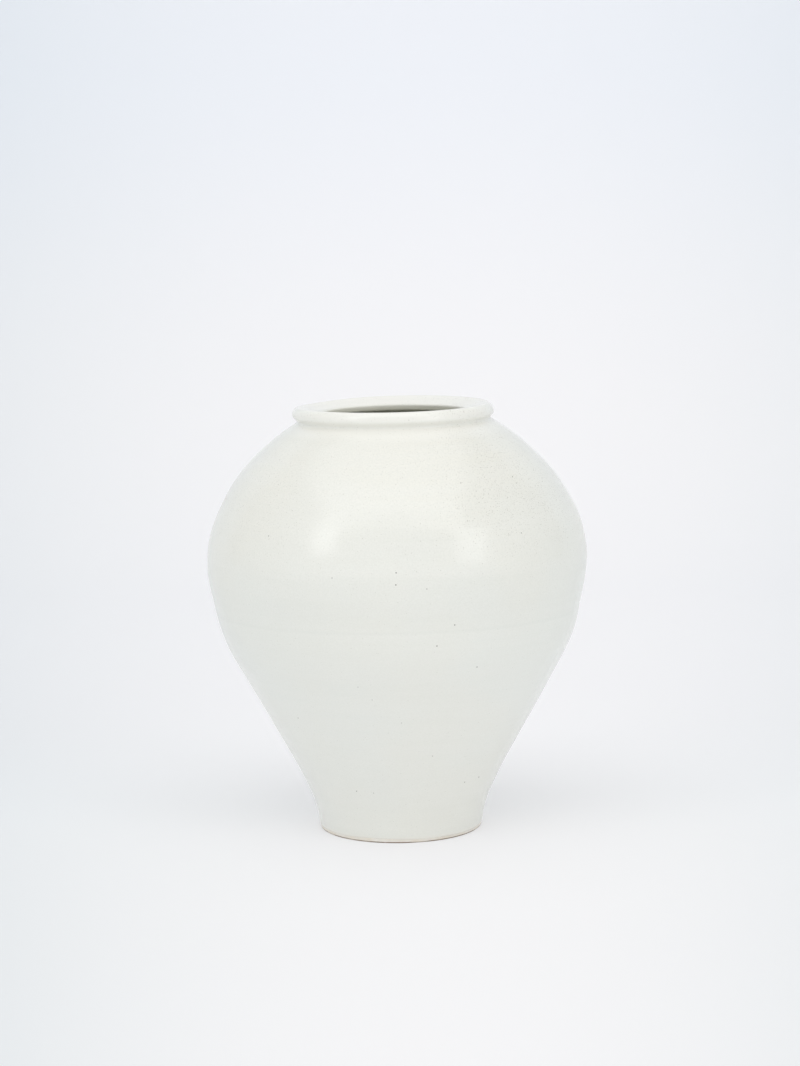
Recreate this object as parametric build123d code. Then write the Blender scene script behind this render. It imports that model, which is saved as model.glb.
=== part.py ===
from build123d import *
import os
from math import asin, atan2, degrees, hypot

# Glazed stoneware jar made of two thrown bowls, luted mouth to mouth at the belly, with a foot
# ring under the lower one and a rolled rim on the upper one. Lengths are in millimetres. The
# jar stands on Z = 0 with its axis on Z. Every section is drawn as (radius, height) and turned
# about the axis. Radii and heights are those of the glazed surface unless they say otherwise.

# Whole jar
jar_height = 401.0
belly_radius = 178.0
belly_height = 256.0
belly_straight = 24.0
join_height = 210.0

# Clay and glaze
wall = 8.0
floor_thickness = 10.0
floor_round = 30.0
glaze = 0.5

# Foot
foot_radius = 76.2
foot_height = 10.0
foot_width = 12.0
foot_edge_round = 1.5
recess_round = 4.0
bare_band = 3.5

# Mouth: a round roll whose inner side slopes down to the throat
rim_radius = 94.0
rim_height = 14.0
rim_width = 24.0
lip_drop = 7.0
throat_edge_round = 2.2
groove_round = 1.2

# Luting: the slip between the two bowls and the coil pressed over it on the inside
slip_thickness = 2.0
coil_radius = 9.0
coil_stand = 4.0

# The corners of the side before they are rounded, from the floor to the belly: shares of the
# rise, then of the growth in radius
lower_corner_shares = [(0.095, 0.04), (0.219, 0.179), (0.686, 0.829), (0.764, 0.9)]
# The same from the belly to the rim: shares of the rise, then of the fall in radius
upper_corner_shares = [(0.286, 0.067), (0.603, 0.309), (0.871, 0.701)]
# How much of the shorter of its two runs a rounded corner takes up
round_share = 0.49
overrun = 20.0

bead_radius = rim_height / 2
bead_centre = Vector(rim_radius - bead_radius, jar_height - bead_radius)
foot = Vector(foot_radius, 0)
belly = Vector(belly_radius, belly_height)
neck = Vector(bead_centre.X, jar_height - rim_height)
throat_edge = Vector(rim_radius - rim_width, jar_height - lip_drop)
clay_inside = glaze + wall
glazed_inside = clay_inside + glaze


def between(start, end, shares):
    """Points from start to end, each at its share of the rise and of the change in radius."""
    reach = end - start
    return [start + Vector(reach.X * across, reach.Y * up) for up, across in shares]


def profile():
    """The jar's glazed side, from below the floor to the rim's underside: straight runs and large arcs."""
    half_straight = Vector(0, belly_straight / 2)
    corners = [foot, *between(foot, belly, lower_corner_shares), belly - half_straight]
    corners += [belly + half_straight, *between(belly, neck, upper_corner_shares), neck]
    side = []
    start = foot - (corners[1] - foot).normalized() * overrun
    for before, corner, after in zip(corners, corners[1:], corners[2:]):
        into = (corner - before).normalized()
        onward = (after - corner).normalized()
        reach = round_share * min((corner - before).length, (after - corner).length)
        arc = TangentArc(corner - into * reach, corner + onward * reach, tangent=into)
        side += [Line(start, arc @ 0), arc]
        start = arc @ 1
    return [*side, Line(start, neck)]


def inset(edge, depth):
    """A straight run or an arc of the side, moved into the jar square to itself."""
    moved = [edge @ share + (edge % share).rotate(Axis.Z, 90) * depth for share in (0, 0.5, 1)]
    if edge.geom_type == GeomType.LINE:
        return Line(moved[0], moved[2])
    return ThreePointArc(*moved)


def block(inner, outer, low, high):
    """A rectangle in the section between two radii and two heights."""
    return Pos((inner + outer) / 2, (low + high) / 2) * Rectangle(outer - inner, high - low)


def band(low, high):
    """The whole width of the section between two heights."""
    return block(0, belly_radius + overrun, low, high)


def rounded(section, corner, radius):
    """The section with the corner nearest to a point rounded."""
    nearest = section.vertices().sort_by_distance(corner)[0]
    return fillet(nearest, radius)


def rim_fill(depth):
    """The rolled rim, filled in to the axis and running down into the shoulder."""
    reach = bead_centre - throat_edge
    slope = atan2(reach.Y, reach.X) + asin(bead_radius / hypot(reach.X, reach.Y))
    up = Vector(0, 1).rotate(Axis.Z, degrees(slope))
    touch = bead_centre + up * (bead_radius - depth)
    along = Vector(up.Y, -up.X)
    centre_top = touch - along * (touch.X / along.X)
    low = neck.Y - wall
    corners = [(0, low), centre_top, touch, bead_centre, (bead_centre.X, low)]
    return make_face(Polyline(*corners, close=True)) + Pos(*bead_centre) * Circle(bead_radius - depth)


def filled(side, low):
    """The face between a side and the axis, from below the floor to the side's upper end."""
    start = side[0] @ 0
    end = side[-1] @ 1
    ends = Polyline(end, (0, end.Y), (0, start.Y), start)
    return make_face([*side, ends]) & band(low, jar_height)


def outline(depth):
    """The whole jar as if it were solid, with its side and its rim moved in by the depth."""
    return filled([inset(edge, depth) for edge in profile()], 0) + rim_fill(depth)


def floor_and_side(depth):
    """The chamber's floor from the axis outwards, the arc that rounds it, and its side up to the rim."""
    skin = depth - clay_inside
    floor = foot_height + floor_thickness + skin
    radius = floor_round - skin
    edges = profile()
    tracks = [inset(edge, depth + radius) for edge in edges]
    level = Axis((0, floor + radius, 0), (1, 0, 0))
    crossings = [track.find_intersection_points(level) for track in tracks]
    first = [len(points) > 0 for points in crossings].index(True)
    centre = crossings[first][0]
    touched = inset(edges[first], depth)
    share = tracks[first].param_at_point(centre)
    arc = TangentArc((centre.X, floor), touched @ share, tangent=(1, 0))
    above = [inset(edge, depth) for edge in edges[first + 1:]]
    return [Line((0, floor), arc @ 0), arc, touched.trim(share, 1), *above]


def chamber(depth):
    """The space inside the jar, its side as far inside the outline as the depth says."""
    throat = throat_edge.X + glaze + clay_inside - depth
    side = floor_and_side(depth)
    end = side[-1] @ 1
    ahead = side[-1] % 1
    top = end + ahead * ((throat - end.X) / ahead.X)
    space = make_face([*side, Polyline(end, top, (0, top.Y), side[0] @ 0)])
    return space + block(0, throat, top.Y - wall, jar_height + overrun)


def recess(depth):
    """The space under the jar, inside its foot ring, with its surface moved out by the depth."""
    side = foot_radius - foot_width + depth
    top = foot_height - glaze + depth
    space = block(0, side, -overrun, top)
    return rounded(space, (side, top), recess_round - glaze + depth)


def turned(section):
    """The solid made by turning a section about the jar's axis."""
    return revolve(Plane.XZ * section, Axis.Z)


def walls():
    """The clay of the jar in section, without the coil over the join."""
    clay = outline(glaze) - chamber(clay_inside) - recess(glaze)
    return rounded(clay, throat_edge, throat_edge_round - glaze)


def coil(clay, thickness):
    """The coil over the join, in section, grown by a thickness."""
    join = clay & band(join_height - slip_thickness / 2, join_height + slip_thickness / 2)
    inner_face = join.bounding_box().min.X
    centre = Vector(inner_face + coil_radius - coil_stand, join_height)
    return (Pos(*centre) * Circle(coil_radius + thickness)) & chamber(clay_inside)


def foot_ring(clay):
    """The ring that the jar stands on, its two lower edges softened."""
    ring = clay & band(0, foot_height)
    ring = rounded(ring, (foot_radius, 0), foot_edge_round)
    return rounded(ring, (foot_radius - foot_width, 0), foot_edge_round)


def glaze_skin(clay):
    """All of the glaze on the outside and the inside, in section."""
    glazed = outline(0) - chamber(glazed_inside) - recess(glaze)
    glazed = rounded(rounded(glazed, throat_edge, throat_edge_round), neck, groove_round)
    return (glazed + coil(clay, glaze) - clay - coil(clay, 0)) & band(bare_band, jar_height)


def base_glaze():
    """The glaze under the jar, down the inner side of the foot ring to the bare band."""
    return (recess(glaze) - recess(0)) & band(bare_band, foot_height)


def inner_half():
    """Everything nearer the jar's inside than the middle of its wall and of its rim."""
    side = [inset(edge, glaze + wall / 2) for edge in profile()]
    return filled(side, 0) + block(0, rim_radius - rim_width / 2, join_height, jar_height + overrun)


def pieces():
    """Every piece of the jar, by name, as its section."""
    clay = walls()
    skin = glaze_skin(clay)
    seam_low = join_height - slip_thickness / 2
    seam_high = join_height + slip_thickness / 2
    return {
        "foot_ring": foot_ring(clay),
        "lower_bowl": clay & band(foot_height, seam_low),
        "luting_ring": (clay & band(seam_low, seam_high)) + coil(clay, 0),
        "upper_bowl": clay & band(seam_high, neck.Y),
        "rolled_rim": clay & band(neck.Y, jar_height),
        "outer_glaze": skin - inner_half(),
        "inner_glaze": skin & inner_half(),
        "base_glaze": base_glaze(),
    }


os.makedirs("parts", exist_ok=True)
for name, section in pieces().items():
    export_step(turned(section), os.path.join("parts", name + ".step"))
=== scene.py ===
import bpy
import math
import numpy as np
from mathutils import Matrix, Vector


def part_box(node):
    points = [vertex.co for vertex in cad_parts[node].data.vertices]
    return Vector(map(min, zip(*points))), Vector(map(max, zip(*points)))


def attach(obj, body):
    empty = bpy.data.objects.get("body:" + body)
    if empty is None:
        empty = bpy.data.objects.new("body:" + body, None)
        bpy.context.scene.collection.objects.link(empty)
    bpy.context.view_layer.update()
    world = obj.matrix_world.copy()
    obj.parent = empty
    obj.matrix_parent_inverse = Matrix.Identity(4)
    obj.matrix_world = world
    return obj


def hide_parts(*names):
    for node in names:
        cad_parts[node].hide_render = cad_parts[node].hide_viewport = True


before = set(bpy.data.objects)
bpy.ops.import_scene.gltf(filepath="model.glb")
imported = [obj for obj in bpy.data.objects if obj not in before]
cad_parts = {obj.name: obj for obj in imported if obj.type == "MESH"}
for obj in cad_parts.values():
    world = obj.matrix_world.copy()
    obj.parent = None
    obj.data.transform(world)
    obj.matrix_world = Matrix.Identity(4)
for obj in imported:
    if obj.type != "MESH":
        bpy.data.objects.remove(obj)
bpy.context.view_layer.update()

# A white glazed jar made of two thrown bowls, luted mouth to mouth. Lengths are in metres. The
# jar's section is drawn once as a path of (radius, height) points. Every piece is cut from that
# path, turned about the axis, and made slightly uneven by one rule that all pieces share.
mm = 0.001

# The jar, as far as the frame's own boxes give its sizes
jar_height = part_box("outer_glaze")[1].z
belly_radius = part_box("outer_glaze")[1].x
bare_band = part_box("outer_glaze")[0].z
neck_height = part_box("rolled_rim")[0].z
foot_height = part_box("foot_ring")[1].z
join_height = (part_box("luting_ring")[0].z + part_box("luting_ring")[1].z) / 2

# The rest of its driving sizes
belly_height = 256 * mm
belly_straight = 24 * mm
wall = 8 * mm
glaze = 0.5 * mm
floor_thickness = 10 * mm
floor_round = 30 * mm
foot_radius = 76.2 * mm
foot_width = 12 * mm
foot_edge_round = 1.5 * mm
recess_round = 4 * mm
rim_radius = 94 * mm
rim_width = 24 * mm
lip_drop = 7 * mm
throat_edge_round = 2.2 * mm
throat_foot_round = 2 * mm
groove_round = 2.2 * mm
crest_round = 3.5 * mm
face_round = 10 * mm
under_round = 3 * mm
under_lean = math.radians(46)
face_drop = 8.2 * mm
neck_rise = 1.2 * mm
slip_thickness = 2 * mm
coil_radius = 9 * mm
coil_stand = 4 * mm
coil_blend = 3 * mm
glaze_edge_round = 0.9 * mm

# The side's corners before they are rounded, as shares of the rise and of the change in radius
lower_corner_shares = [(0.095, 0.04), (0.219, 0.179), (0.686, 0.829), (0.764, 0.9)]
upper_corner_shares = [(0.286, 0.067), (0.603, 0.309), (0.871, 0.701)]
round_share = 0.49

# The roll of the rim: arcs for its crest, its outer face and the bend below, then a bevel
roll_face = np.array([rim_radius - face_round, jar_height - face_drop])
roll_under = np.array([rim_radius - under_round, jar_height - face_drop])
crest_rise = face_drop - crest_round
crest_across = math.sqrt((face_round - crest_round) ** 2 - crest_rise ** 2)
roll_crest = roll_face + np.array([crest_across, crest_rise])
neck_radius = rim_radius - (jar_height - neck_height) / 2
throat_radius = rim_radius - rim_width
throat_edge = jar_height - lip_drop
rim_middle = rim_radius - rim_width / 2
seam_low = join_height - slip_thickness / 2
seam_high = join_height + slip_thickness / 2
clay_inside = glaze + wall
glazed_inside = clay_inside + glaze

# How finely the paths are worked out, with points that are nearer than the least gap left out as
# repeats, and how finely the paths are then cut into faces
path_step = 0.1 * mm
least_gap = path_step * 0.3
fine_step = 2.1 * mm
coarse_step = 8 * mm
sharpest_turn = math.radians(9)
fine_around = 240
coarse_around = 144
sharp_edge = math.radians(35)


def unit(vector):
    """A vector with its length made 1."""
    return vector / np.hypot(*vector)


def angle_of(vector):
    """The direction of a vector in the section, counter-clockwise from outwards."""
    return math.atan2(vector[1], vector[0])


def run(start, end):
    """Points along a straight run, close together."""
    start, end = np.array(start), np.array(end)
    count = max(2, int(np.hypot(*(end - start)) / path_step) + 1)
    return start + (end - start) * np.linspace(0, 1, count)[:, None]


def arc(centre, radius, first, last):
    """Points along an arc from one angle to another, close together."""
    count = max(9, int(abs((last - first) * radius) / path_step) + 1)
    angles = np.linspace(first, last, count)
    return centre + radius * np.column_stack([np.cos(angles), np.sin(angles)])


def corner_arc(corner, into, onward, reach):
    """The arc that rounds a corner between two directions and starts a reach before it."""
    turn = math.atan2(into[0] * onward[1] - into[1] * onward[0], into @ onward)
    # A turn to the right has a negative radius, which puts the centre on its other side
    radius = reach / math.tan(turn / 2)
    centre = corner - into * reach + radius * np.array([-into[1], into[0]])
    first = angle_of(into) - math.pi / 2
    return arc(centre, radius, first, first + turn)


def joined(*paths):
    """Paths laid end to end, without the points that repeat."""
    points = np.vstack(paths)
    apart = np.hypot(*np.diff(points, axis=0).T) > least_gap
    return points[np.concatenate([[True], apart])]


def looped(section):
    """The points of a closed section, without a last one that repeats the first."""
    gap = np.hypot(*(section[-1] - section[0]))
    return section if gap > least_gap else section[:-1]


def moved_in(path, depth):
    """A path moved to its left by a depth, which is into the clay."""
    ahead = np.gradient(path, axis=0)
    ahead /= np.hypot(*ahead.T)[:, None]
    return path + np.column_stack([-ahead[:, 1], ahead[:, 0]]) * depth


def between(path, low, high):
    """The part of a rising path between two heights, with its ends exactly on them."""
    inside = path[(path[:, 1] > low) & (path[:, 1] < high)]
    ends = [(np.interp(z, path[:, 1], path[:, 0]), z) for z in (low, high)]
    return np.vstack([ends[0], inside, ends[1]])


def side_corners():
    """The corners of the glazed side, from the foot to the rim's underside."""
    foot = np.array([foot_radius, 0.0])
    belly = np.array([belly_radius, belly_height])
    neck = np.array([neck_radius, neck_height])
    half = np.array([0.0, belly_straight / 2])
    low = [foot + (belly - foot) * (across, up) for up, across in lower_corner_shares]
    high = [belly + (neck - belly) * (across, up) for up, across in upper_corner_shares]
    return [foot, *low, belly - half, belly + half, *high, neck + (0, neck_rise)]


def side():
    """The glazed side: straight runs joined by arcs that take up nearly all of the shorter run."""
    corners = side_corners()
    parts = []
    start = corners[0] - (corners[1] - corners[0])
    for before, corner, after in zip(corners, corners[1:], corners[2:]):
        reach = round_share * min(np.hypot(*(corner - before)), np.hypot(*(after - corner)))
        bend = corner_arc(corner, unit(corner - before), unit(after - corner), reach)
        parts += [run(start, bend[0]), bend]
        start = bend[-1]
    return joined(*parts, run(start, corners[-1]))


side_path = side()


def resting_round(depth, radius, height):
    """Where a circle, its centre at a height, touches the moved side: its centre and the angle."""
    track = moved_in(side_path, depth + radius)
    place = np.interp(height, track[:, 1], np.arange(len(track)))
    near = int(place)
    centre = track[near] + (track[near + 1] - track[near]) * (place - near)
    return centre, angle_of(side_path[near] - track[near])


def ledge():
    """The slope from the roll's top down to the throat: its angle, and where the two meet."""
    edge = np.array([throat_radius, throat_edge])
    reach = roll_crest - edge
    slope = angle_of(reach) + math.asin(crest_round / np.hypot(*reach))
    top = roll_crest + crest_round * np.array([-math.sin(slope), math.cos(slope)])
    drop = (top[0] - throat_radius) * math.tan(slope)
    return slope, np.array([throat_radius, top[1] - drop])


def rim():
    """The glazed outside up to the throat: side, groove, roll, ledge and the throat's edge."""
    end = side_path[-1]
    into = unit(end - side_path[-2])
    bevel = np.array([math.sin(under_lean), math.cos(under_lean)])
    under = arc(roll_under, under_round, -under_lean, 0)
    back = np.linalg.solve(np.column_stack([into, -bevel]), under[0] - end)[0]
    groove_reach = groove_round * math.tan(math.acos(into @ bevel) / 2)
    groove = corner_arc(end + into * back, into, bevel, groove_reach)
    up = side_path[side_path[:, 1] < groove[0][1]]
    slope, corner = ledge()
    onto_crest = angle_of(roll_crest - roll_face)
    face = arc(roll_face, face_round, 0, onto_crest)
    crest = arc(roll_crest, crest_round, onto_crest, slope + math.pi / 2)
    inward = -np.array([math.cos(slope), math.sin(slope)])
    reach = throat_edge_round * math.tan((math.pi / 2 - slope) / 2)
    edge = corner_arc(corner, inward, np.array([0.0, -1.0]), reach)
    roll = joined(run(groove[-1], under[0]), under, face, crest)
    return joined(up, groove, roll, run(crest[-1], edge[0]), edge)


def inner_side(depth):
    """The jar's inner side without the coil, from the throat down to the middle of its floor."""
    path = moved_in(side_path, depth)[::-1]
    ahead = unit(path[1] - path[0])
    throat = throat_radius + glazed_inside - depth
    corner = path[0] - ahead * (path[0][0] - throat) / ahead[0]
    bend = corner_arc(corner, np.array([0.0, -1.0]), ahead, throat_foot_round / 2)
    radius = floor_round - depth + clay_inside
    floor = foot_height + floor_thickness + depth - clay_inside
    centre, angle = resting_round(depth, radius, floor + radius)
    path = path[path[:, 1] > centre[1] + radius * math.sin(angle)]
    low = arc(centre, radius, angle, -math.pi / 2)
    return joined(bend, run(bend[-1], path[0]), path, low, run((centre[0], floor), (0, floor)))


def with_coil(path, depth):
    """An inner side with the coil that covers the join, blended into it."""
    face = np.interp(seam_low, *moved_in(side_path, clay_inside).T[::-1])
    centre = face + coil_radius - coil_stand
    radius = coil_radius + depth - clay_inside
    aside = np.clip(abs(path[:, 1] - join_height), 0, radius)
    coil = centre - np.sqrt(radius ** 2 - aside ** 2)
    share = np.clip(0.5 + 0.5 * (path[:, 0] - coil) / coil_blend, 0, 1)
    blended = path[:, 0] * (1 - share) + coil * share - coil_blend * share * (1 - share)
    return np.column_stack([blended, path[:, 1]])


def glazed_path():
    """The whole glazed surface, from the bare band at the foot over the rim to the floor."""
    outside = rim()
    low = between(side_path, bare_band, foot_height)
    outside = joined(low, outside[outside[:, 1] > foot_height])
    inside = with_coil(inner_side(glazed_inside), glazed_inside)
    return joined(outside, run(outside[-1], inside[0]), inside)


surface = glazed_path()
clay = moved_in(surface, glaze)
split = np.nonzero((surface[:, 0] < rim_middle) & (surface[:, 1] > roll_face[1]))[0][0]
crest = np.argmax(clay[:, 1])
clay_outside = clay[:crest + 1]
clay_bore = clay[crest:][::-1]
plain_bore = inner_side(clay_inside)[::-1]


def base_path():
    """The glazed surface under the jar, from the axis to the bare band inside the foot ring."""
    side_at = foot_radius - foot_width
    top = foot_height - glaze
    radius = recess_round - glaze
    bend = arc((side_at - radius, top - radius), radius, math.pi / 2, 0)
    return joined(run((0, top), bend[0]), bend, run(bend[-1], (side_at, bare_band)))


def thinned(path, longest):
    """A path with no more points than its bends and the longest step ask for."""
    steps = np.diff(path, axis=0)
    angles = np.unwrap(np.arctan2(steps[:, 1], steps[:, 0]))
    turns = np.concatenate([[0], abs(np.diff(angles))])
    cost = np.cumsum(np.hypot(*steps.T) / longest + turns / sharpest_turn)
    cost = np.concatenate([[0], cost])
    places = np.linspace(0, cost[-1], math.ceil(cost[-1]) + 1)
    return np.column_stack([np.interp(places, cost, path[:, k]) for k in (0, 1)])


def coat(path):
    """The section of a coat of glaze, thinned away where it ends at the bare clay of the foot."""
    under = moved_in(path, glaze)
    rise = 1 - np.clip((path[:, 1] - bare_band) / glaze_edge_round, 0, 1)
    thickness = np.sqrt(1 - rise ** 2)[:, None]
    shown = under + (path - under) * thickness
    return [thinned(shown, fine_step), thinned(under[::-1], coarse_step)]


def ring_section():
    """The section of the foot ring, counter-clockwise from its resting face."""
    outer, angle = resting_round(glaze, foot_edge_round, foot_edge_round)
    outer_bend = arc(outer, foot_edge_round, -math.pi / 2, angle)
    up = between(moved_in(side_path, glaze), outer_bend[-1][1], foot_height)
    inner = (foot_radius - foot_width + glaze + foot_edge_round, foot_edge_round)
    inner_bend = arc(inner, foot_edge_round, math.pi, 1.5 * math.pi)
    centre = (inner[0] - foot_edge_round - recess_round, foot_height - recess_round)
    bend = arc(centre, recess_round, math.pi / 2, 0)
    ring = joined(run(inner_bend[-1], outer_bend[0]), outer_bend, up)
    inside = joined(bend, run(bend[-1], inner_bend[0]), inner_bend)
    return [thinned(ring, fine_step), thinned(inside, fine_step)]


def band_section(low, high, bore):
    """The section of the clay between two heights, from a bore out to the glaze."""
    outer = between(clay_outside, low, high)
    inner = between(bore, low, high)[::-1]
    return [thinned(outer, coarse_step), thinned(inner, coarse_step)]


def luting_section():
    """The section of the slip in the join and the coil pressed over it."""
    reach = coil_radius - coil_blend / 2
    above = between(plain_bore, seam_high, join_height + reach)
    coil = between(clay_bore, join_height - reach, join_height + reach)[::-1]
    below = between(plain_bore, join_height - reach, seam_low)
    outer = between(clay_outside, seam_low, seam_high)
    return [thinned(part, fine_step) for part in (outer, above, coil, below)]


def rim_section():
    """The section of the clay of the rolled rim."""
    top = thinned(clay_outside[clay_outside[:, 1] > neck_height], fine_step)
    down = clay_bore[::-1]
    return [top, thinned(down[down[:, 1] > neck_height], fine_step)]


# How the jar leans to +X at some heights, as (height, spread, shift) in millimetres
leans = [
    (0, 30, -0.35), (120, 35, 0.5), (226, 24, -0.5),
    (298, 22, 0.45), (370, 22, -0.5), (401, 14, -2.2),
]
# Its other unevenness
slimming_share = 0.0017
oval_share = 0.004
rim_tilt = math.radians(0.45)
tilt_start = 330 * mm
rim_dip = 2 * mm
dip_azimuth = math.radians(150)
dip_spread = math.radians(35)
swell_depth = 0.16 * mm
swell_pitch = 36 * mm
ring_depth = 0.05 * mm
ring_pitch = 11 * mm
seam_depth = 0.10 * mm
seam_spread = 1.8 * mm
upper_line_rise = 12 * mm
upper_line_share = 0.4
glaze_wave = 0.7 * mm
# The waves in the glaze's lower edge, as (number round the jar, phase, share)
glaze_waves = [(3, 1, 0.6), (7, 2, 0.3), (17, 0, 0.1)]
# The join isn't quite level: how much it rises for each unit in X and in Y
seam_slope = (0.004, -0.0235)
seam_centre = join_height - 2.1 * mm


def smooth_step(value, low, high):
    """A smooth rise from 0 to 1 between two values."""
    share = np.clip((value - low) / (high - low), 0, 1)
    return share ** 2 * (3 - 2 * share)


def bumps(height, azimuth, x, y):
    """How far the thrower's rings and the join stand out from an even surface."""
    swell = np.sin(height / swell_pitch * 2 * math.pi + azimuth) - 1
    rings = np.sin(height / ring_pitch * 2 * math.pi + azimuth * 2 + 2 * swell) - 1
    seam = height - seam_centre - seam_slope[0] * x - seam_slope[1] * y
    lines = np.exp(-(seam / seam_spread) ** 2)
    lines += upper_line_share * np.exp(-((seam - upper_line_rise) / seam_spread) ** 2)
    start = smooth_step(height, foot_height, 3 * foot_height)
    end = 1 - smooth_step(height, neck_height - 3 * foot_height, neck_height)
    return start * end * (swell * swell_depth / 2 + rings * ring_depth / 2 - lines * seam_depth)


def uneven(points):
    """Where points of an even jar lie on this one, which was made by hand."""
    x, y, z = points.T
    azimuth = np.arctan2(y, x)
    grown = 1 + bumps(z, azimuth, x, y) / belly_radius
    lean = 0
    for height, spread, shift in leans:
        lean = lean + shift * mm * np.exp(-((z / mm - height) / spread) ** 2)
    tilt = (x - rim_radius) * math.tan(rim_tilt) * smooth_step(z, tilt_start, neck_height)
    round_from_dip = (azimuth - dip_azimuth + math.pi) % (2 * math.pi) - math.pi
    dip = rim_dip * np.exp(-(round_from_dip / dip_spread) ** 2)
    dip = dip * smooth_step(z, neck_height, jar_height)
    edge = smooth_step(z, foot_edge_round, bare_band)
    edge = edge * (1 - smooth_step(z, bare_band, foot_height))
    wave = sum(np.sin(azimuth * number + phase) * share for number, phase, share in glaze_waves)
    x = x * grown * (1 - slimming_share) + lean
    y = y * grown * (1 - oval_share)
    return np.column_stack([x, y, z + tilt - dip + wave * edge * glaze_wave])


def turned(section, around):
    """The vertices and faces of a closed mesh: a section turned about the axis."""
    vertices = []
    rings = []
    for radius, height in section:
        count = around if radius > path_step else 1
        rings.append(len(vertices) + np.arange(around) % count)
        for angle in np.arange(count) * 2 * math.pi / around:
            vertices.append((radius * math.cos(angle), radius * math.sin(angle), height))
    faces = []
    for ring, after in zip(rings, rings[1:] + rings[:1]):
        corners = np.column_stack([ring, np.roll(ring, -1), np.roll(after, -1), after]).tolist()
        faces += [tuple(dict.fromkeys(face)) for face in corners]
    return vertices, [face for face in faces if len(face) > 2]


def add_piece(node, parts, around, material):
    """A piece of the jar made by turning its section, which stands for its CAD node."""
    vertices, faces = turned(looped(joined(*parts)), around)
    mesh = bpy.data.meshes.new("jar_" + node)
    mesh.from_pydata(uneven(np.array(vertices)).tolist(), [], faces)
    mesh.shade_smooth()
    mesh.set_sharp_from_angle(angle=sharp_edge)
    mesh.materials.append(material)
    piece = bpy.data.objects.new("jar_" + node, mesh)
    bpy.context.scene.collection.objects.link(piece)
    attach(piece, "root")
    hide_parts(node)


def add(tree, kind, inputs, **settings):
    """A new node. Each input, by its name or number, is set to a value or joined to an output."""
    made = tree.nodes.new("ShaderNode" + kind)
    for name, value in settings.items():
        setattr(made, name, value)
    for name, value in inputs.items():
        if isinstance(value, bpy.types.NodeSocket):
            tree.links.new(value, made.inputs[name])
        else:
            made.inputs[name].default_value = value
    return made


def maths(tree, operation, *values):
    """The result of a sum."""
    return add(tree, "Math", dict(enumerate(values)), operation=operation).outputs[0]


def mapped(tree, value, low, high, to_low=0.0, to_high=1.0):
    """A value that goes smoothly between two numbers as its source goes from low to high."""
    inputs = {"Value": value, "From Min": low, "From Max": high}
    inputs.update({"To Min": to_low, "To Max": to_high})
    return add(tree, "MapRange", inputs, interpolation_type="SMOOTHSTEP").outputs[0]


def blended(tree, share, first, second, mode="MIX"):
    """A colour between two, by a share."""
    inputs = {0: share, 6: first, 7: second}
    return add(tree, "Mix", inputs, data_type="RGBA", blend_type=mode).outputs[2]


def scaled(tree, place, scale):
    """Places stretched by a scale on each axis."""
    return add(tree, "VectorMath", {0: place, 1: scale}, operation="MULTIPLY").outputs[0]


def noise(tree, place, scale, detail=3.0, rough=0.5):
    """Soft noise around 0.5, with features about 1 / scale metres across."""
    inputs = {"Vector": place, "Scale": scale, "Detail": detail, "Roughness": rough}
    return add(tree, "TexNoise", inputs).outputs[0]


def new_material(name):
    """An empty node material: itself, its tree and shader, places in the frame and their parts."""
    material = bpy.data.materials.new(name)
    material.use_nodes = True
    tree = material.node_tree
    place = add(tree, "TexCoord", {}).outputs["Object"]
    parts = add(tree, "SeparateXYZ", {0: place}).outputs
    return material, tree, tree.nodes["Principled BSDF"], place, parts


# Dark iron specks that show in the photograph, as (degrees round from the viewer, height in
# millimetres), largest first
specks = [
    (-0.4, 268.0), (-0.5, 257.4), (11.6, 200.4), (48.8, 58.4), (16.9, 218.9), (25.6, 177.2),
    (-45.3, 122.9), (-26.2, 51.7), (38.2, 56.5), (-42.4, 295.3), (40.4, 294.8), (23.7, 340.6),
    (47.4, 341.1), (-18.9, 263.0), (8.3, 253.1), (14.8, 89.1), (74.2, 21.0), (-15.8, 50.9),
    (-14.0, 161.5), (-9.8, 148.6), (0.4, 125.0),
]
largest_speck = 0.70 * mm
smallest_speck = 0.38 * mm
chip_place = (-82.6, 316.5)
chip_radius = 1.3 * mm
# Where a round spot starts to fade and where it ends, as shares of its radius
spot_core = 0.6
spot_end = 1.15

# Specks in random places: how far apart they are and how large at most, and the share of the
# places that has one. The dust and the faint specks take that share from specked_share. A
# strength is how far a speck covers the glaze, and a growth is what the share adds to it.
dust_spacing = 1.5 * mm
dust_radius = 0.38 * mm
dust_strength = 0.33
dust_growth = 0.28
faint_spacing = 4.2 * mm
faint_radius = 0.50 * mm
faint_strength = 0.25
faint_growth = 0.45
dark_spacing = 15.0 * mm
dark_radius = 0.45 * mm
dark_share = 0.3
dark_strength = 0.6
placed_strength = 0.75
speck_softness = 0.35

# Where the glaze is thickly specked: high on the shoulder, and from the middle to each side
specks_start = 240 * mm
specks_full = 330 * mm
right_full = 90 * mm
left_full = -130 * mm
left_start = -50 * mm
middle_specks = 0.6
right_specks = 2.3
left_specks = 1.1
shoulder_specks = 0.85
least_specks = 0.16

# The glaze's patterns. A pattern's scale is about how many features it has in a metre, on each
# axis where it is stretched, and its range is the part of the noise that goes from none to all.
cloud_scale = 9.0
cloud_range = (0.35, 0.65)
cloud_share = 0.4
# Painted warm light: the glaze turns from green to cream up towards the shoulder, standing in for
# the warmer light from above
warm_light_range = (160 * mm, 380 * mm)
warm_light_share = 0.6
streak_scale = (9.0, 9.0, 130.0)
streak_range = (0.3, 0.7)
streak_share = 0.35
grain_scale = 650.0
grain_range = (0.3, 0.7)
grain_least = 0.3
grain_growth = 0.4
# Painted light: the glaze is lightened on the rim and on the band of shoulder below it, which the
# rolled rim shades
lit_rim_range = (neck_height - 14 * mm, neck_height - 4 * mm)
lit_rim_share = 0.9
thin_band = 4 * mm
thin_share = 0.6
seam_share = 0.12
seam_reach = 1.4 * seam_spread
# Painted shade: how far down inside the jar, below the throat's edge, the glaze is darkened
inside_shade_range = (throat_edge - 4 * mm, throat_edge)
inside_shade_share = 0.85

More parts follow.
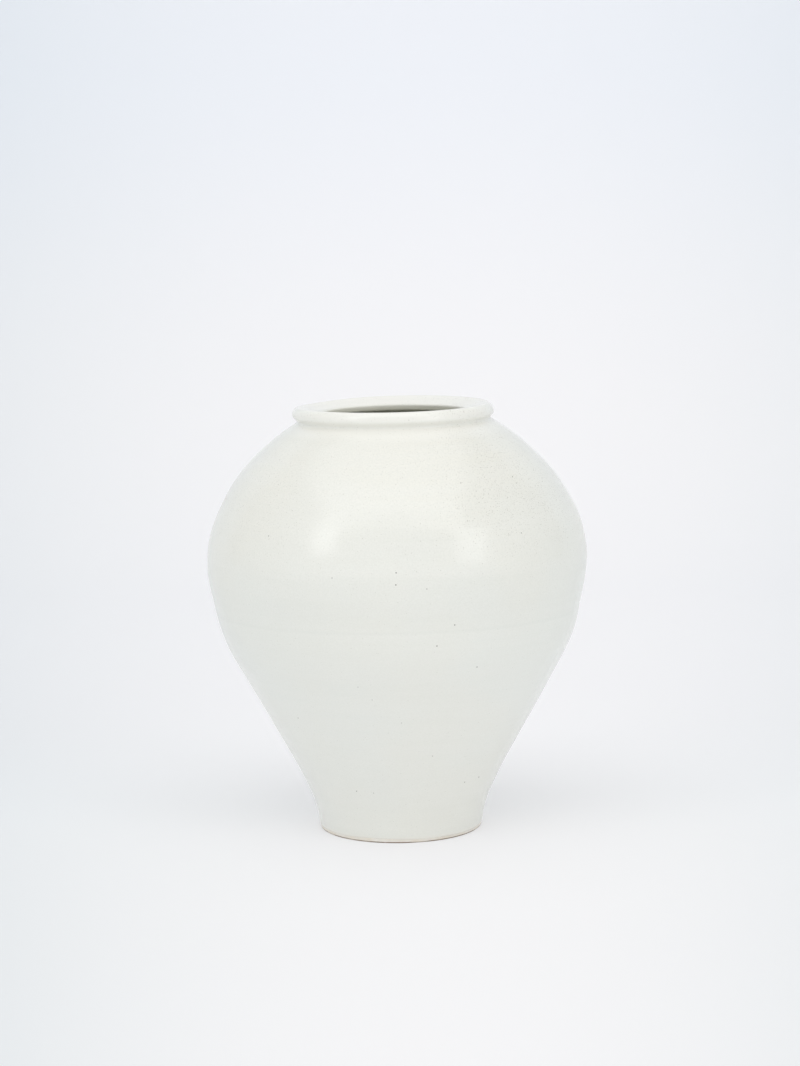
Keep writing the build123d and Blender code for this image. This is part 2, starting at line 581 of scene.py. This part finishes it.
# The glaze's relief and gloss
peel_scale = 260.0
peel_height = 0.030 * mm
line_scale = (14.0, 14.0, 330.0)
outer_line_height = 0.05 * mm
inner_line_height = 0.20 * mm
pit_spacing = 3.2 * mm
pit_radius = 0.30 * mm
pit_share = 0.4
pit_height = -0.025 * mm
gloss_scale = 40.0
gloss_least = 0.14
gloss_spread = 0.10
gloss_level = 0.75

# The bare clay
clay_scale = 60.0
clay_range = (0.3, 0.7)
# The band at the bottom of the foot that is browned by the kiln shelf and darkened with painted
# contact shadow
edge_band = 1.5 * mm
patch_scale = 45.0
patch_range = (0.35, 0.55)
patch_least = 0.4
grit_scale = 700.0
grit_height = 0.12 * mm
clay_speck_spacing = 2.0 * mm
clay_speck_radius = 0.35 * mm
clay_speck_share = 0.5
clay_speck_strength = 0.25
clay_roughness = 0.74
clay_roughness_spread = 0.2

# Colours of the glaze and the clay
# Cream and green: the glaze's random clouds, and the painted warm light towards the shoulder
glaze_cream = (0.825, 0.815, 0.745, 1)
glaze_green = (0.815, 0.828, 0.785, 1)
glaze_light = (0.840, 0.840, 0.795, 1)
glaze_grain = (0.745, 0.750, 0.695, 1)
# Painted light for the rim and the shaded band below it
glaze_lit_rim = (0.860, 0.855, 0.800, 1)
glaze_thin = (0.840, 0.820, 0.760, 1)
glaze_deep = (0.690, 0.710, 0.660, 1)
# Painted shade for the glaze down inside the jar
glaze_inside_shaded = (0.660, 0.660, 0.555, 1)
speck_dark = (0.085, 0.060, 0.040, 1)
speck_pale = (0.400, 0.385, 0.330, 1)
chip_brown = (0.300, 0.120, 0.050, 1)
clay_pale = (0.865, 0.845, 0.790, 1)
clay_brown = (0.800, 0.750, 0.655, 1)
# The dark bottom edge of the foot: kiln-shelf brown and painted contact shadow
clay_edge_and_contact_shade = (0.220, 0.150, 0.090, 1)


def on_side(degrees, height):
    """The point of the uneven glazed side at an angle round from the viewer and a height."""
    azimuth = math.radians(degrees - 90)
    radius = np.interp(height * mm, side_path[:, 1], side_path[:, 0])
    point = np.array([[radius * math.cos(azimuth), radius * math.sin(azimuth), height * mm]])
    return Vector(uneven(point)[0])


def spot(tree, place, centre, radius):
    """A share that is 1 within a radius of a point and fades out just past it."""
    far = add(tree, "VectorMath", {0: place, 1: centre}, operation="DISTANCE").outputs["Value"]
    return mapped(tree, far, radius * spot_core, radius * spot_end, 1.0, 0.0)


def placed_specks(tree, place):
    """The specks whose places the photograph shows."""
    found = 0.0
    for number, (degrees, height) in enumerate(specks):
        radius = largest_speck + (smallest_speck - largest_speck) * number / len(specks)
        found = maths(tree, "MAXIMUM", spot(tree, place, on_side(degrees, height), radius), found)
    return found


def scattered_specks(tree, place, spacing, radius, share):
    """Specks in random places, of random sizes up to a radius, in a share of the places."""
    inputs = {"Vector": place, "Scale": 1 / spacing, "Randomness": 1.0}
    cells = add(tree, "TexVoronoi", inputs)
    chance = add(tree, "SeparateColor", {0: cells.outputs["Color"]}).outputs[0]
    size = mapped(tree, chance, maths(tree, "SUBTRACT", 1.0, share), 1)
    reach = maths(tree, "MULTIPLY", size, radius / spacing)
    inside = maths(tree, "SUBTRACT", reach, cells.outputs["Distance"])
    return mapped(tree, inside, 0.0, radius / spacing * speck_softness)


def seam_mask(tree, parts):
    """A share that is 1 in the faint line of the join, where the glaze lies thicker."""
    rise = maths(tree, "MULTIPLY_ADD", parts[0], seam_slope[0], seam_centre)
    level = maths(tree, "MULTIPLY_ADD", parts[1], seam_slope[1], rise)
    away = maths(tree, "ABSOLUTE", maths(tree, "SUBTRACT", parts[2], level))
    return mapped(tree, away, 0.0, seam_reach, 1.0, 0.0)


def specked_share(tree, parts):
    """How thickly the glaze is specked: most on the shoulder, and more on its right."""
    high = mapped(tree, parts[2], specks_start, specks_full)
    right = mapped(tree, parts[0], 0.0, right_full, middle_specks, right_specks)
    left = mapped(tree, parts[0], left_full, left_start, left_specks, middle_specks)
    aside = maths(tree, "MAXIMUM", right, left)
    many = maths(tree, "MULTIPLY", high, aside)
    return maths(tree, "MULTIPLY_ADD", many, shoulder_specks, least_specks)


def glaze_colour(tree, place, parts):
    """The glaze's colour, with its clouds, streaks, thin edge and join, painted warm light towards
    the shoulder and painted light on the rim and below it, but no specks.
    """
    clouds = mapped(tree, noise(tree, place, cloud_scale, 2.0), *cloud_range)
    # Painted warm light, stronger higher up; the same share also lets the grains grow
    warm_light_and_grain = mapped(tree, parts[2], *warm_light_range)
    streaks = noise(tree, scaled(tree, place, streak_scale), 1.0, 3.0)
    streaks = mapped(tree, streaks, *streak_range)
    grains = mapped(tree, noise(tree, place, grain_scale, 3.0, 0.7), *grain_range)
    warmth = maths(tree, "MULTIPLY", warm_light_and_grain, warm_light_share)
    warmth = maths(tree, "MULTIPLY_ADD", clouds, cloud_share, warmth)
    colour = blended(tree, warmth, glaze_green, glaze_cream)
    colour = blended(tree, maths(tree, "MULTIPLY", streaks, streak_share), colour, glaze_light)
    grained = maths(tree, "MULTIPLY_ADD", warm_light_and_grain, grain_growth, grain_least)
    colour = blended(tree, maths(tree, "MULTIPLY", grains, grained), colour, glaze_grain)
    # Painted light: lighter glaze on the rim and below it, against the rim's shade
    lit_rim = mapped(tree, parts[2], *lit_rim_range, 0.0, lit_rim_share)
    colour = blended(tree, lit_rim, colour, glaze_lit_rim)
    thin = mapped(tree, parts[2], bare_band, bare_band + thin_band, 1.0, 0.0)
    colour = blended(tree, maths(tree, "MULTIPLY", thin, thin_share), colour, glaze_thin)
    seam = maths(tree, "MULTIPLY", seam_mask(tree, parts), seam_share)
    return blended(tree, seam, colour, glaze_deep)


def glaze_surface(tree, place, line_height):
    """The height of the glaze's own relief: orange peel, the thrower's lines and pits."""
    peel = maths(tree, "MULTIPLY", noise(tree, place, peel_scale, 2.0), peel_height)
    lines = noise(tree, scaled(tree, place, line_scale), 1.0, 3.0)
    lines = maths(tree, "MULTIPLY", lines, line_height)
    pits = scattered_specks(tree, place, pit_spacing, pit_radius, pit_share)
    pits = maths(tree, "MULTIPLY", pits, pit_height)
    return maths(tree, "ADD", maths(tree, "ADD", peel, lines), pits)


def specked(tree, place, parts, colour):
    """A colour with the glaze's iron specks, from the fine dust to the few dark ones."""
    share = specked_share(tree, parts)
    dust = scattered_specks(tree, place, dust_spacing, dust_radius, share)
    strength = maths(tree, "MULTIPLY_ADD", share, dust_growth, dust_strength)
    colour = blended(tree, maths(tree, "MULTIPLY", dust, strength), colour, speck_pale)
    faint = scattered_specks(tree, place, faint_spacing, faint_radius, share)
    strength = maths(tree, "MULTIPLY_ADD", share, faint_growth, faint_strength)
    colour = blended(tree, maths(tree, "MULTIPLY", faint, strength), colour, speck_pale)
    dark = scattered_specks(tree, place, dark_spacing, dark_radius, dark_share)
    dark = maths(tree, "MULTIPLY", dark, dark_strength)
    placed = maths(tree, "MULTIPLY", placed_specks(tree, place), placed_strength)
    colour = blended(tree, maths(tree, "MAXIMUM", dark, placed), colour, speck_dark)
    chip = spot(tree, place, on_side(*chip_place), chip_radius)
    return blended(tree, chip, colour, chip_brown)


def glaze_material(name, line_height, inside):
    """Satin white glaze with iron specks. Down inside the jar it is darkened with painted shade.
    """
    material, tree, shader, place, parts = new_material(name)
    colour = specked(tree, place, parts, glaze_colour(tree, place, parts))
    if inside:
        # Painted shade: the glaze darkens below the throat, where the inside of the jar lies in
        # shade
        inside_shade = mapped(tree, parts[2], *inside_shade_range, inside_shade_share, 0.0)
        colour = blended(tree, inside_shade, colour, glaze_inside_shaded)
    gloss = noise(tree, place, gloss_scale, 3.0)
    gloss = maths(tree, "MULTIPLY_ADD", gloss, gloss_spread, gloss_least)
    height = glaze_surface(tree, place, line_height)
    relief = add(tree, "Bump", {"Strength": 1.0, "Distance": 1.0, "Height": height}).outputs[0]
    shader.inputs["Specular IOR Level"].default_value = gloss_level
    tree.links.new(colour, shader.inputs["Base Color"])
    tree.links.new(gloss, shader.inputs["Roughness"])
    tree.links.new(relief, shader.inputs["Normal"])
    return material


def clay_material():
    """Bare fired clay, gritty, browner where it touched the kiln shelf, and darkened along its
    bottom edge with painted contact shadow.
    """
    material, tree, shader, place, parts = new_material("bare_clay")
    grit = noise(tree, place, grit_scale, 4.0, 0.6)
    browned = mapped(tree, noise(tree, place, clay_scale, 4.0), *clay_range)
    colour = blended(tree, browned, clay_pale, clay_brown)
    # Painted shade: the bottom edge is darkened both by the kiln shelf's browning and by painted
    # contact shadow
    touched_and_shaded = mapped(tree, parts[2], edge_band / 2, edge_band, 1.0, 0.0)
    patches = mapped(tree, noise(tree, place, patch_scale, 3.0), *patch_range, patch_least, 1.0)
    colour = blended(tree, maths(tree, "MULTIPLY", touched_and_shaded, patches), colour, clay_edge_and_contact_shade)
    grains = scattered_specks(tree, place, clay_speck_spacing, clay_speck_radius, clay_speck_share)
    grains = maths(tree, "MULTIPLY", grains, clay_speck_strength)
    colour = blended(tree, grains, colour, speck_dark)
    height = maths(tree, "MULTIPLY", grit, grit_height)
    relief = add(tree, "Bump", {"Strength": 1.0, "Distance": 1.0, "Height": height}).outputs[0]
    tree.links.new(colour, shader.inputs["Base Color"])
    roughness = maths(tree, "MULTIPLY_ADD", grit, clay_roughness_spread, clay_roughness)
    tree.links.new(roughness, shader.inputs["Roughness"])
    tree.links.new(relief, shader.inputs["Normal"])
    return material


def add_jar():
    """All eight pieces of the jar."""
    clay_look = clay_material()
    outer_look = glaze_material("white_glaze_outside", outer_line_height, False)
    inner_look = glaze_material("white_glaze_inside", inner_line_height, True)
    add_piece("foot_ring", ring_section(), coarse_around, clay_look)
    lower = band_section(foot_height, seam_low, plain_bore)
    add_piece("lower_bowl", lower, coarse_around, clay_look)
    add_piece("luting_ring", luting_section(), coarse_around, clay_look)
    upper = band_section(seam_high, neck_height, plain_bore)
    add_piece("upper_bowl", upper, coarse_around, clay_look)
    add_piece("rolled_rim", rim_section(), coarse_around, clay_look)
    add_piece("outer_glaze", coat(surface[:split + 1]), fine_around, outer_look)
    add_piece("inner_glaze", coat(surface[split:]), fine_around, inner_look)
    add_piece("base_glaze", coat(base_path()), fine_around, outer_look)


# The camera, fitted to the jar's outline, foot and rim in the photograph
film_height = 36
focal_length = 92.5
camera_place = (0, -2.5407, 0.62885)
camera_pitch = math.radians(-7.846)
camera_roll = math.radians(-0.943)
camera_yaw = math.radians(-0.0675)


def add_camera():
    """The camera at the photograph's viewing angle."""
    data = bpy.data.cameras.new("camera")
    data.sensor_width = film_height
    data.lens = focal_length
    camera = bpy.data.objects.new("camera", data)
    bpy.context.scene.collection.objects.link(camera)
    yaw = Matrix.Rotation(camera_yaw, 4, "Z")
    pitch = Matrix.Rotation(math.pi / 2 + camera_pitch, 4, "X")
    roll = Matrix.Rotation(camera_roll, 4, "Z")
    camera.matrix_world = Matrix.Translation(camera_place) @ (yaw @ pitch) @ roll
    bpy.context.scene.camera = camera


# The studio: a sweep of white paper, a soft dome with a panel overhead, and two tall soft lamps.
# The paper glows by a share of its colour where the camera sees it, before and behind the jar.
paper_near = (0.916, 0.914, 0.921, 1)
paper_far = (0.898, 0.888, 0.896, 1)
paper_blue = (0.838, 0.858, 0.903, 1)
# Painted shade for the paper's sides
paper_side_shade = (0.875, 0.905, 0.915, 1)
glow_before = 0.60
glow_behind = 0.12
# The paper is darkened to its sides with painted shade, by how far it lies across for each metre
# from a point in front
paper_source = 2.54
paper_middle = 0.018
paper_spread = 0.175
# Over what lengths it turns greyer, in Y, and bluer, in Z
paper_greyer = (0.0, 0.7)
paper_bluer = (0.1, 0.9)
paper_cloud_scale = 1.5
paper_cloud_share = 0.1
paper_gloss_level = 0.1
paper_roughness = 0.9
# Its front edge, the start and radius of its bend up to the backdrop, its top edge and its width,
# and of how many points of the finely drawn bend one is used
paper_front = -5.0
paper_bend = 1.4
paper_round = 1.6
paper_top = 4.0
paper_half_width = 4.5
paper_bend_skip = 400
aim = Vector((0, 0, 0.28))
lamp_distance = 3.5
left_lamp = {"turn": -49, "lift": 30, "roll": 20, "width": 0.85, "height": 1.3, "watts": 5.3}
right_lamp = {"turn": 48, "lift": 25, "roll": -20, "width": 1.10, "height": 1.8, "watts": 7.2}
# The dome: its strength, what it gains low in front, to the left and at both sides, and how fast
# the gain in front and at both sides falls away upwards
dome_level = 0.668
dome_front = 0.55
dome_left = 0.02
dome_side = 0.23
dome_fall = 2.2
# The panel: its strength at its front edge and further back, and its edges, which are given for
# each metre that it would hang above the jar
panel_level = 0.98
panel_rear = 0.42
panel_middle = -0.08
panel_half_width = 0.70
panel_narrowing = 0.25
panel_front = -0.85
panel_faded = 0.425
panel_back = 0.50
panel_edge = 0.05


def paper_colour(tree, place, parts):
    """White paper, a little greyer behind the jar, bluer high up and darkened to its sides with
    painted shade.
    """
    far = mapped(tree, parts[1], *paper_greyer)
    high = mapped(tree, parts[2], *paper_bluer)
    clouds = noise(tree, place, paper_cloud_scale, 2.0)
    tint = maths(tree, "MULTIPLY_ADD", clouds, paper_cloud_share, high)
    colour = blended(tree, tint, blended(tree, far, paper_near, paper_far), paper_blue)
    # Painted shade: the paper darkens to its sides
    across = maths(tree, "DIVIDE", parts[0], maths(tree, "ADD", parts[1], paper_source))
    aside = maths(tree, "DIVIDE", maths(tree, "SUBTRACT", across, paper_middle), paper_spread)
    return blended(tree, maths(tree, "MULTIPLY", aside, aside), colour, paper_side_shade, "MULTIPLY")


def add_paper():
    """The floor and backdrop in one sweep of matte white paper."""
    bend = arc((paper_bend, paper_round), paper_round, -math.pi / 2, 0)[::paper_bend_skip]
    line = [(paper_front, 0), *bend.tolist(), (paper_bend + paper_round, paper_top)]
    edges = [(end * paper_half_width, y, z) for y, z in line for end in (-1, 1)]
    faces = [(2 * k, 2 * k + 1, 2 * k + 3, 2 * k + 2) for k in range(len(line) - 1)]
    mesh = bpy.data.meshes.new("paper")
    mesh.from_pydata(edges, [], faces)
    mesh.shade_smooth()
    material, tree, shader, place, parts = new_material("paper")
    colour = paper_colour(tree, place, parts)
    tree.links.new(colour, shader.inputs["Base Color"])
    shader.inputs["Roughness"].default_value = paper_roughness
    shader.inputs["Specular IOR Level"].default_value = paper_gloss_level
    ray = add(tree, "LightPath", {}).outputs
    seen = maths(tree, "MAXIMUM", ray["Is Glossy Ray"], ray["Is Transmission Ray"])
    seen = maths(tree, "MAXIMUM", ray["Is Camera Ray"], seen)
    glow = add(tree, "Emission", {"Color": colour, "Strength": 1.0}).outputs[0]
    share = mapped(tree, parts[1], -foot_radius, 2 * foot_radius, glow_before, glow_behind)
    share = maths(tree, "MULTIPLY", seen, share)
    both = add(tree, "MixShader", {0: share, 1: shader.outputs[0], 2: glow}).outputs[0]
    tree.links.new(both, tree.nodes["Material Output"].inputs["Surface"])
    mesh.materials.append(material)
    paper = bpy.data.objects.new("paper", mesh)
    bpy.context.scene.collection.objects.link(paper)


def add_lamp(name, lamp):
    """A large soft lamp that faces the jar."""
    data = bpy.data.lights.new(name, "AREA")
    data.shape = "RECTANGLE"
    data.size = lamp["width"]
    data.size_y = lamp["height"]
    data.energy = lamp["watts"]
    turn = math.radians(lamp["turn"])
    lift = math.radians(lamp["lift"])
    level = Vector((math.sin(turn), -math.cos(turn), 0)) * math.cos(lift)
    toward = level + Vector((0, 0, math.sin(lift)))
    light = bpy.data.objects.new(name, data)
    facing = toward.to_track_quat("Z", "Y").to_matrix().to_4x4()
    roll = Matrix.Rotation(math.radians(lamp["roll"]), 4, "Z")
    light.matrix_world = Matrix.Translation(aim + toward * lamp_distance) @ facing @ roll
    bpy.context.scene.collection.objects.link(light)


def add_dome():
    """The soft light from all round, brighter low in front and at the sides, and the panel."""
    world = bpy.data.worlds.new("dome")
    world.use_nodes = True
    bpy.context.scene.world = world
    tree = world.node_tree
    direction = add(tree, "TexCoord", {}).outputs["Generated"]
    across, away, up = add(tree, "SeparateXYZ", {0: direction}).outputs
    aside = maths(tree, "ABSOLUTE", maths(tree, "MULTIPLY_ADD", up, -panel_middle, across))
    width = maths(tree, "MULTIPLY", up, panel_half_width)
    width = maths(tree, "MULTIPLY_ADD", away, -panel_narrowing, width)
    within = maths(tree, "SUBTRACT", width, aside)
    behind = maths(tree, "MULTIPLY_ADD", up, -panel_front, away)
    before = maths(tree, "MULTIPLY_ADD", up, panel_back, maths(tree, "MULTIPLY", away, -1.0))
    covered = maths(tree, "MINIMUM", within, maths(tree, "MINIMUM", behind, before))
    back = maths(tree, "DIVIDE", away, up)
    panel = mapped(tree, back, panel_front, panel_faded, panel_level, panel_rear)
    panel = maths(tree, "MULTIPLY", mapped(tree, covered, -panel_edge, panel_edge), panel)
    above = maths(tree, "ADD", panel, dome_level)
    sides = maths(tree, "MULTIPLY", maths(tree, "ABSOLUTE", across), dome_side)
    low = maths(tree, "MULTIPLY_ADD", away, -dome_front, sides)
    beneath = maths(tree, "POWER", maths(tree, "SUBTRACT", 1.0, up), dome_fall)
    round_about = maths(tree, "MULTIPLY_ADD", low, beneath, above)
    strength = maths(tree, "MULTIPLY_ADD", across, -dome_left, round_about)
    background = tree.nodes["Background"]
    background.inputs["Color"].default_value = (1, 1, 1, 1)
    tree.links.new(strength, background.inputs["Strength"])


add_jar()
add_camera()
add_paper()
add_lamp("left_lamp", left_lamp)
add_lamp("right_lamp", right_lamp)
add_dome()
bpy.context.scene.view_settings.view_transform = "Standard"
